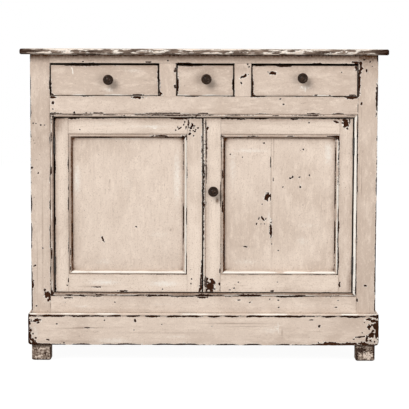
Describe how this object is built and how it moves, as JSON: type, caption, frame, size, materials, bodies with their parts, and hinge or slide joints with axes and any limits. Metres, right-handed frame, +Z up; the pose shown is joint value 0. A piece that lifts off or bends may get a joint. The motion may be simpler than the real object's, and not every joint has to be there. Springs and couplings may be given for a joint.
{
  "type": "buffet cabinet",
  "caption": "Freestanding painted farmhouse buffet: an overhanging plank top, a row of drawers over a cupboard with panelled doors, turned knobs, plinth and post feet.",
  "frame": {"origin": "on the floor, under the middle of the top", "axes": "+X to the right as seen from the front, +Y from the doors to the back, +Z up"},
  "size_m": [1.2, 0.48, 1.03],
  "materials": {
    "cream_paint": "matt worn paint",
    "worn_top_paint": "matt worn paint with bare edges",
    "bare_wood": "aged bare wood",
    "dark_bronze": "dark patina",
    "black_iron": "dull black"
  },
  "bodies": {
    "carcass": {"back_boards": "bare_wood", "back_rails": "bare_wood", "cleats": "bare_wood", "cupboard_floor": "bare_wood", "door_surround_bead": "cream_paint", "drawer_divider_left": "cream_paint", "drawer_divider_right": "cream_paint", "drawer_kickers": "bare_wood", "drawer_runners": "bare_wood", "front_bottom_rail": "cream_paint", "front_drawer_rail": "cream_paint", "front_post_left": "cream_paint", "front_post_right": "cream_paint", "front_top_rail": "cream_paint", "hinge_pins": "black_iron", "hinge_post_leaves": "black_iron", "hinge_post_screws": "black_iron", "plinth_front": "cream_paint", "plinth_returns": "cream_paint", "rear_post_left": "cream_paint", "rear_post_right": "cream_paint", "shelf": "bare_wood", "side_panel_left": "cream_paint", "side_panel_right": "cream_paint", "side_rails": "cream_paint", "stop_blocks": "bare_wood", "top_plank_front": "worn_top_paint", "top_plank_middle": "worn_top_paint", "top_plank_rear": "worn_top_paint"},
    "left_door": {"bolt_guides": "black_iron", "left_door_bottom_rail": "cream_paint", "left_door_hinge_stile": "cream_paint", "left_door_hinges": "black_iron", "left_door_meeting_stile": "cream_paint", "left_door_panel": "cream_paint", "left_door_panel_moulding": "cream_paint", "left_door_top_rail": "cream_paint"},
    "bottom_bolt_slider": {"bottom_bolt": "black_iron"},
    "centre_drawer": {"centre_drawer_bottom": "bare_wood", "centre_drawer_front": "cream_paint", "centre_drawer_knob": "dark_bronze", "centre_drawer_walls": "bare_wood"},
    "door_latch_knob": {"door_knob": "dark_bronze", "door_latch": "black_iron"},
    "left_drawer": {"left_drawer_bottom": "bare_wood", "left_drawer_front": "cream_paint", "left_drawer_knob": "dark_bronze", "left_drawer_walls": "bare_wood"},
    "right_door": {"right_door_bottom_rail": "cream_paint", "right_door_hinge_stile": "cream_paint", "right_door_hinges": "black_iron", "right_door_meeting_stile": "cream_paint", "right_door_panel": "cream_paint", "right_door_panel_moulding": "cream_paint", "right_door_top_rail": "cream_paint"},
    "right_drawer": {"right_drawer_bottom": "bare_wood", "right_drawer_front": "cream_paint", "right_drawer_knob": "dark_bronze", "right_drawer_walls": "bare_wood"},
    "top_bolt_slider": {"top_bolt": "black_iron"}
  },
  "joints": [
    {"name": "left_drawer_slide", "type": "slide", "parent": "carcass", "child": "left_drawer", "axis": [0, -1, 0], "range_m": [0, 0.29]},
    {"name": "centre_drawer_slide", "type": "slide", "parent": "carcass", "child": "centre_drawer", "axis": [0, -1, 0], "range_m": [0, 0.29]},
    {"name": "right_drawer_slide", "type": "slide", "parent": "carcass", "child": "right_drawer", "axis": [0, -1, 0], "range_m": [0, 0.29]},
    {"name": "left_door_hinge", "type": "hinge", "parent": "carcass", "child": "left_door", "pos_m": [-0.4905, -0.2105, 0.517], "axis": [0, 0, -1], "range_deg": [0, 165]},
    {"name": "right_door_hinge", "type": "hinge", "parent": "carcass", "child": "right_door", "pos_m": [0.4905, -0.2105, 0.517], "axis": [0, 0, 1], "range_deg": [0, 165]},
    {"name": "door_knob_turn", "type": "hinge", "parent": "right_door", "child": "door_latch_knob", "pos_m": [0.031, -0.2073, 0.565], "axis": [0, 1, 0], "range_deg": [0, 90]},
    {"name": "top_bolt_slide", "type": "slide", "parent": "left_door", "child": "top_bolt_slider", "axis": [0, 0, 1], "range_m": [0, 0.02]},
    {"name": "bottom_bolt_slide", "type": "slide", "parent": "left_door", "child": "bottom_bolt_slider", "axis": [0, 0, -1], "range_m": [0, 0.02]}
  ]
}
